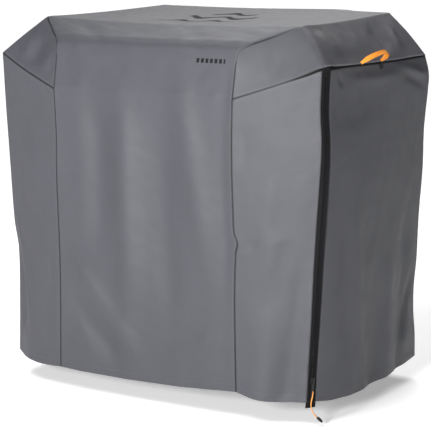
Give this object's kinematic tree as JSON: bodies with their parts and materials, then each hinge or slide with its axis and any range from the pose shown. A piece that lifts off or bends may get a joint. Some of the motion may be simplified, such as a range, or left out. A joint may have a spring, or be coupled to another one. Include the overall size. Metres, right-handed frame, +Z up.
{
  "type": "grill cover",
  "caption": "Fitted cloth cover for a cart grill, with shaped shoulders, a zipped flap at the front right corner and webbing lifting loops.",
  "frame": {"origin": "the inner face of the roof panel, midway across the cover and at the middle of the shoulder seams' depth", "axes": "+Z up out of the roof, -Y towards the front panel, +X towards the side with the zip"},
  "size_m": [1.2798, 0.7751, 1.1881],
  "materials": {
    "cover_cloth": "woven polyester with a coated back, slight sheen",
    "lining": "coated back of the woven polyester",
    "binding": "ribbed binding tape",
    "zip_tape": "woven zip tape",
    "zip_coil": "moulded nylon coil",
    "zip_metal": "black enamel, semi-gloss",
    "webbing": "flat woven webbing",
    "pull_cord": "braided cord",
    "cord_tip": "moulded rubbery plastic"
  },
  "bodies": {
    "cover": {"roof_panel": "cover_cloth", "front_shoulder": "cover_cloth", "right_gusset": "cover_cloth", "left_gusset": "cover_cloth", "right_end_slope": "cover_cloth", "left_end_slope": "cover_cloth", "front_panel": "cover_cloth", "right_wing": "cover_cloth", "left_wing": "cover_cloth", "left_side": "cover_cloth", "right_side_rear": "cover_cloth", "back_panel": "cover_cloth", "front_hem": "lining", "right_wing_hem": "lining", "left_wing_hem": "lining", "left_side_hem": "lining", "back_hem": "lining", "right_side_rear_hem": "lining", "roof_front_binding": "binding", "roof_back_binding": "binding", "right_roof_binding": "binding", "left_roof_binding": "binding", "front_shoulder_binding": "binding", "right_gusset_top_binding": "binding", "left_gusset_top_binding": "binding", "right_gusset_foot_binding": "binding", "left_gusset_foot_binding": "binding", "right_slope_binding": "binding", "left_slope_binding": "binding", "right_front_seam_binding": "binding", "left_front_seam_binding": "binding", "right_back_seam_binding": "binding", "left_back_seam_binding": "binding", "left_corner_binding": "binding", "zip_tape_front": "zip_tape", "zip_coil_front": "zip_coil", "zip_end_patch": "zip_tape", "zip_top_stop": "zip_metal", "right_handle_tab": "binding", "left_handle_tab": "binding", "right_handle_patch": "lining", "left_handle_patch": "lining"},
    "flap": {"side_flap": "cover_cloth", "side_flap_hem": "lining", "zip_tape_side": "zip_tape", "zip_coil_side": "zip_coil"},
    "slider": {"zip_slider_front": "zip_metal", "zip_slider_back": "zip_metal", "zip_slider_bridge": "zip_metal"},
    "puller": {"zip_puller": "zip_metal"},
    "cord": {"pull_cord_ring": "pull_cord", "pull_cord_strand_a": "pull_cord", "pull_cord_strand_b": "pull_cord", "pull_cord_tip": "cord_tip"},
    "right_loop": {"right_handle": "webbing"},
    "left_loop": {"left_handle": "webbing"}
  },
  "joints": [
    {"name": "side_flap_fold", "type": "hinge", "parent": "cover", "child": "flap", "pos_m": [0.563, 0.205, -1.13], "axis": [0.0354, -0.4472, 0.8937], "range_deg": [0, 110]},
    {"name": "zip_slider_slide", "type": "slide", "parent": "cover", "child": "slider", "axis": [0.0398, 0.002, 0.9992], "range_m": [0, 0.888]},
    {"name": "puller_swing", "type": "hinge", "parent": "slider", "child": "puller", "pos_m": [0.5647, -0.31401, -1.06028], "axis": [-0.469, -0.883, 0.0205], "range_deg": [0, 135]},
    {"name": "pull_cord_swing", "type": "hinge", "parent": "puller", "child": "cord", "pos_m": [0.56337, -0.31407, -1.09356], "axis": [-0.469, -0.883, 0.0205], "range_deg": [-135, 0]},
    {"name": "right_handle_flop", "type": "hinge", "parent": "cover", "child": "right_loop", "pos_m": [0.601, -0.0435, -0.124], "axis": [0, 1, 0], "range_deg": [-45, 45], "stiffness_Nm_per_rad": 0.06},
    {"name": "left_handle_flop", "type": "hinge", "parent": "cover", "child": "left_loop", "pos_m": [-0.601, -0.0435, -0.124], "axis": [0, -1, 0], "range_deg": [-45, 45], "stiffness_Nm_per_rad": 0.06}
  ],
  "couplings": [
    {"joint": "zip_slider_slide", "follows": "side_flap_fold", "m_per_rad": 0.4625},
    {"joint": "pull_cord_swing", "follows": "puller_swing", "ratio": -1}
  ]
}
